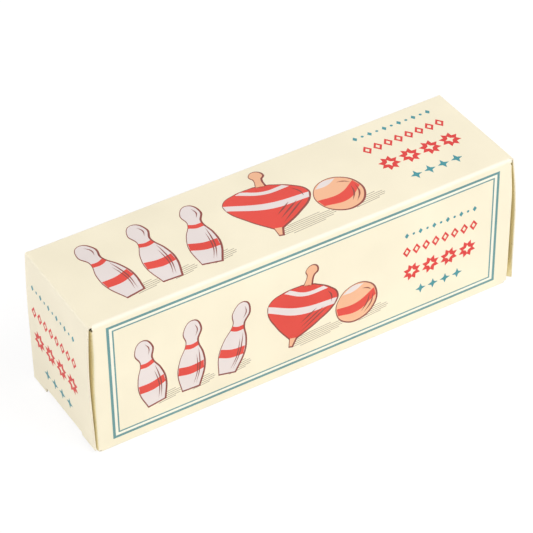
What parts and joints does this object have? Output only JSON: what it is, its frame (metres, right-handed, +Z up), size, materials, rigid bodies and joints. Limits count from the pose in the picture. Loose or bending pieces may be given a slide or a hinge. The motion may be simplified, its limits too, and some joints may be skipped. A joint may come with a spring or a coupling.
{
  "type": "blow ball pipe toy",
  "caption": "Closed folding carton with tuck-in ends that holds a turned wooden blow pipe, whose ring seat over an air nozzle floats a light ball.",
  "frame": {"origin": "middle of the carton's underside, on the surface that it lies on", "axes": "+X along the carton, to the right as its front wall is seen; the front wall faces -Y; +Z up"},
  "size_m": [0.165, 0.045, 0.055],
  "materials": {
    "printed_card": "satin",
    "plain_card": "matte",
    "painted_wood": "gloss",
    "bare_wood": "satin",
    "foam_ball": "matte"
  },
  "bodies": {
    "carton": {"front_wall": "printed_card", "top_wall": "printed_card", "back_wall": "printed_card", "bottom_wall": "printed_card", "glue_flap": "plain_card"},
    "left_closure": {"left_closure_panel": "printed_card"},
    "left_tuck": {"left_tuck_flap": "plain_card"},
    "left_front_dust": {"left_front_dust_flap": "plain_card"},
    "left_back_dust": {"left_back_dust_flap": "plain_card"},
    "right_closure": {"right_closure_panel": "printed_card"},
    "right_tuck": {"right_tuck_flap": "plain_card"},
    "right_front_dust": {"right_front_dust_flap": "plain_card"},
    "right_back_dust": {"right_back_dust_flap": "plain_card"},
    "pipe": {"pipe_bowl": "painted_wood", "pipe_stem": "bare_wood", "air_nozzle": "bare_wood", "ring_post_1": "bare_wood", "ring_post_2": "bare_wood", "ring_post_3": "bare_wood", "seat_ring": "painted_wood"},
    "ball_a": {"ball_a": "foam_ball"},
    "ball_b": {"ball_b": "foam_ball"}
  },
  "joints": [
    {"name": "pipe_slide", "type": "slide", "parent": "carton", "child": "pipe", "axis": [-1, 0, 0], "range_m": [0, 0.17]},
    {"name": "left_closure_hinge", "type": "hinge", "parent": "carton", "child": "left_closure", "pos_m": [-0.0825, 0, 0.055], "axis": [0, 1, 0], "range_deg": [0, 175]},
    {"name": "left_tuck_crease", "type": "hinge", "parent": "left_closure", "child": "left_tuck", "pos_m": [-0.082, 0, 0.0021], "axis": [0, -1, 0], "range_deg": [0, 43.75]},
    {"name": "left_front_dust_hinge", "type": "hinge", "parent": "carton", "child": "left_front_dust", "pos_m": [-0.0818, -0.0225, 0.0275], "axis": [0, 0, 1], "range_deg": [0, 157.5]},
    {"name": "left_back_dust_hinge", "type": "hinge", "parent": "carton", "child": "left_back_dust", "pos_m": [-0.0818, 0.0225, 0.0275], "axis": [0, 0, -1], "range_deg": [0, 157.5]},
    {"name": "right_closure_hinge", "type": "hinge", "parent": "carton", "child": "right_closure", "pos_m": [0.0825, 0, 0.055], "axis": [0, -1, 0], "range_deg": [0, 175]},
    {"name": "right_tuck_crease", "type": "hinge", "parent": "right_closure", "child": "right_tuck", "pos_m": [0.082, 0, 0.0021], "axis": [0, 1, 0], "range_deg": [0, 43.75]},
    {"name": "right_front_dust_hinge", "type": "hinge", "parent": "carton", "child": "right_front_dust", "pos_m": [0.0818, -0.0225, 0.0275], "axis": [0, 0, -1], "range_deg": [0, 157.5]},
    {"name": "right_back_dust_hinge", "type": "hinge", "parent": "carton", "child": "right_back_dust", "pos_m": [0.0818, 0.0225, 0.0275], "axis": [0, 0, 1], "range_deg": [0, 157.5]},
    {"name": "ball_a_play", "type": "slide", "parent": "pipe", "child": "ball_a", "axis": [-1, 0, 0], "range_m": [0, 0.008]},
    {"name": "ball_b_play", "type": "slide", "parent": "pipe", "child": "ball_b", "axis": [-1, 0, 0], "range_m": [0, 0.008]}
  ],
  "couplings": [
    {"joint": "left_closure_hinge", "follows": "pipe_slide", "rad_per_m": 17.966},
    {"joint": "left_tuck_crease", "follows": "pipe_slide", "rad_per_m": 4.491},
    {"joint": "left_front_dust_hinge", "follows": "pipe_slide", "rad_per_m": 16.169},
    {"joint": "left_back_dust_hinge", "follows": "pipe_slide", "rad_per_m": 16.169},
    {"joint": "right_tuck_crease", "follows": "right_closure_hinge", "ratio": 0.25},
    {"joint": "right_front_dust_hinge", "follows": "right_closure_hinge", "ratio": 0.9},
    {"joint": "right_back_dust_hinge", "follows": "right_closure_hinge", "ratio": 0.9}
  ]
}
